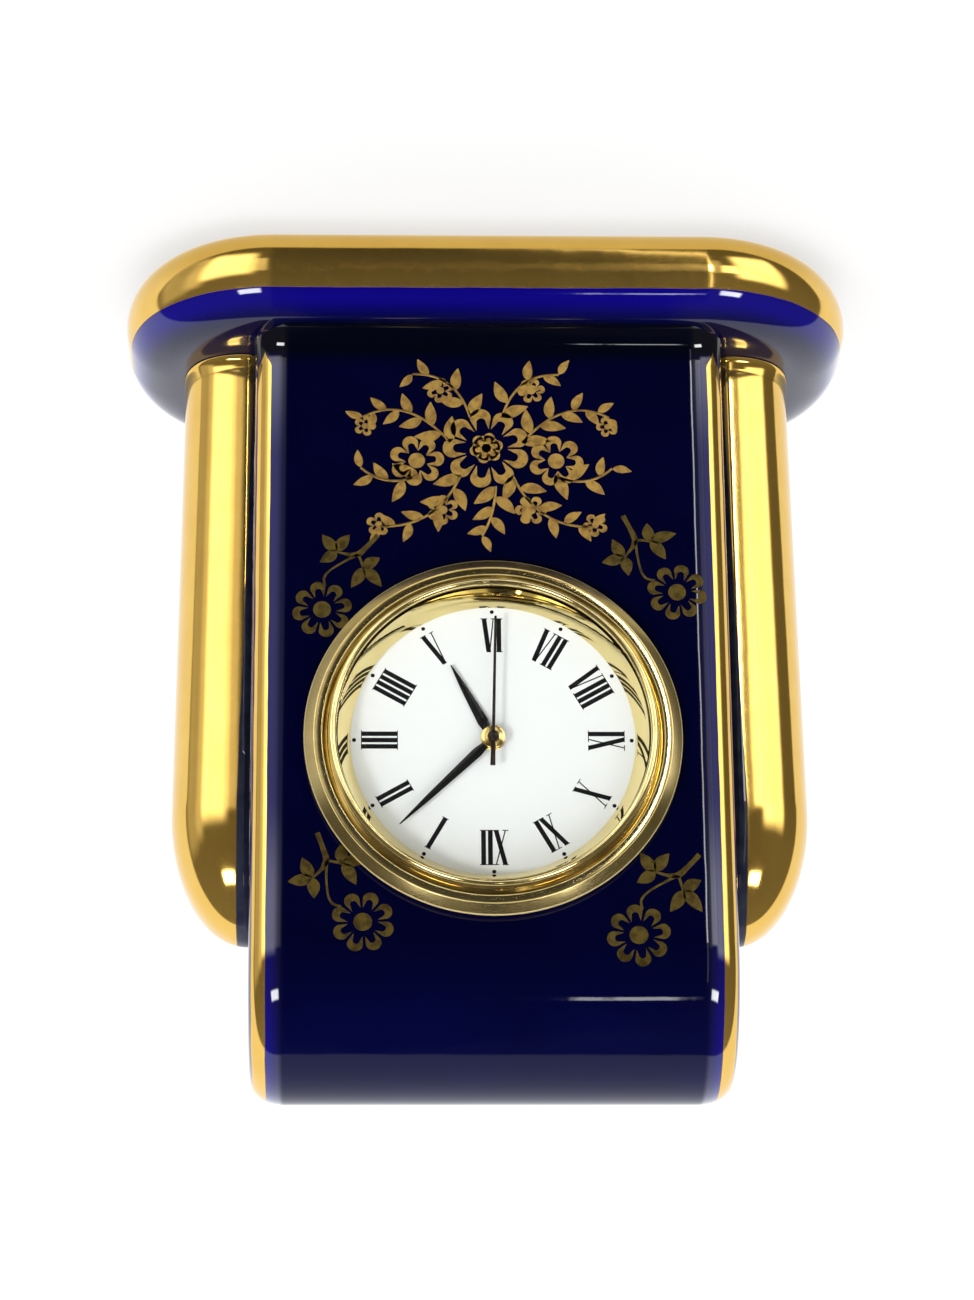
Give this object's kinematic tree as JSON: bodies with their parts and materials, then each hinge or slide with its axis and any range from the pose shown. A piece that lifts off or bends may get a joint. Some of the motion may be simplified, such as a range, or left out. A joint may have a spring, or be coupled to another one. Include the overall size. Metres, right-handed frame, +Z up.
{
  "type": "table clock",
  "caption": "Small blue and gilt porcelain table clock with side columns and a press-in quartz insert whose dial, hands, gear train and setting knob are separate pieces.",
  "frame": {"origin": "on the table under the middle of the base", "axes": "+Z up, the dial faces -Y, +X to the right of a viewer who looks at the dial"},
  "size_m": [0.0746, 0.0354, 0.0876],
  "materials": {
    "cobalt_glaze": "glossy cobalt-blue glaze on porcelain",
    "burnished_gold": "porcelain gilded all over and burnished bright",
    "brass": "polished and lacquered gold tone",
    "grip_rubber": "soft matte",
    "crystal_glass": "clear polished",
    "dial_white": "satin white with black print",
    "black_plastic": "moulded satin",
    "white_plastic": "moulded satin",
    "steel": "fine satin",
    "copper_wire": "enamelled copper winding",
    "board_green": "solder mask",
    "black_paint": "gloss black"
  },
  "bodies": {
    "case": {"case_body": "cobalt_glaze", "case_base": "cobalt_glaze", "left_column": "burnished_gold", "right_column": "burnished_gold"},
    "insert": {"bezel": "brass", "grip_ring": "grip_rubber", "crystal": "crystal_glass", "dial_ring": "brass", "dial": "dial_white", "housing": "black_plastic", "main_plate": "white_plastic", "train_bridge": "white_plastic", "bridge_screw_1": "steel", "bridge_screw_2": "steel", "bridge_screw_3": "steel", "coil": "copper_wire", "coil_core": "steel", "stator": "steel", "circuit_board": "board_green", "chip": "black_plastic", "quartz_can": "steel", "battery": "steel", "front_contact": "steel", "back_contact": "steel"},
    "cover": {"back_cover": "black_plastic"},
    "seconds": {"second_wheel": "white_plastic", "second_hand": "black_paint"},
    "third": {"third_wheel": "white_plastic"},
    "centre": {"centre_wheel": "brass"},
    "intermediate": {"intermediate_wheel": "white_plastic"},
    "motor": {"rotor": "steel"},
    "minutes": {"cannon_pinion": "brass", "minute_hand": "black_paint", "minute_hand_collet": "brass"},
    "motion_work": {"minute_wheel": "white_plastic"},
    "hours": {"hour_wheel": "brass", "hour_hand": "black_paint", "hour_hand_collet": "brass"},
    "setting": {"setting_arbor": "steel", "setting_knob": "black_plastic"}
  },
  "joints": [
    {"name": "insert_pull", "type": "slide", "parent": "case", "child": "insert", "axis": [0, -1, 0], "range_m": [0, 0.04]},
    {"name": "cover_pull", "type": "slide", "parent": "insert", "child": "cover", "axis": [0, 1, 0], "range_m": [0, 0.008]},
    {"name": "second_turn", "type": "hinge", "parent": "insert", "child": "seconds", "pos_m": [0, -0.012, 0.0546], "axis": [0, 1, 0], "continuous": true},
    {"name": "third_turn", "type": "hinge", "parent": "insert", "child": "third", "pos_m": [0.00442, -0.012, 0.05715], "axis": [0, 1, 0], "continuous": true},
    {"name": "centre_turn", "type": "hinge", "parent": "insert", "child": "centre", "pos_m": [0, -0.012, 0.0546], "axis": [0, 1, 0], "continuous": true},
    {"name": "intermediate_turn", "type": "hinge", "parent": "insert", "child": "intermediate", "pos_m": [-0.00491, -0.012, 0.05639], "axis": [0, 1, 0], "continuous": true},
    {"name": "rotor_turn", "type": "hinge", "parent": "insert", "child": "motor", "pos_m": [-0.00545, -0.012, 0.05949], "axis": [0, 1, 0], "continuous": true},
    {"name": "minute_turn", "type": "hinge", "parent": "insert", "child": "minutes", "pos_m": [0, -0.012, 0.0546], "axis": [0, 1, 0], "continuous": true},
    {"name": "minute_wheel_turn", "type": "hinge", "parent": "insert", "child": "motion_work", "pos_m": [0.0025, -0.012, 0.05027], "axis": [0, 1, 0], "continuous": true},
    {"name": "hour_turn", "type": "hinge", "parent": "insert", "child": "hours", "pos_m": [0, -0.012, 0.0546], "axis": [0, 1, 0], "continuous": true},
    {"name": "setting_turn", "type": "hinge", "parent": "insert", "child": "setting", "pos_m": [0.00742, -0.012, 0.0494], "axis": [0, 1, 0], "continuous": true}
  ],
  "couplings": [
    {"joint": "third_turn", "follows": "second_turn", "ratio": -0.13333},
    {"joint": "centre_turn", "follows": "second_turn", "ratio": 0.016667},
    {"joint": "intermediate_turn", "follows": "second_turn", "ratio": -5},
    {"joint": "rotor_turn", "follows": "second_turn", "ratio": 30},
    {"joint": "minute_wheel_turn", "follows": "minute_turn", "ratio": -0.33333},
    {"joint": "hour_turn", "follows": "minute_turn", "ratio": 0.083333},
    {"joint": "setting_turn", "follows": "minute_turn", "ratio": 1}
  ]
}
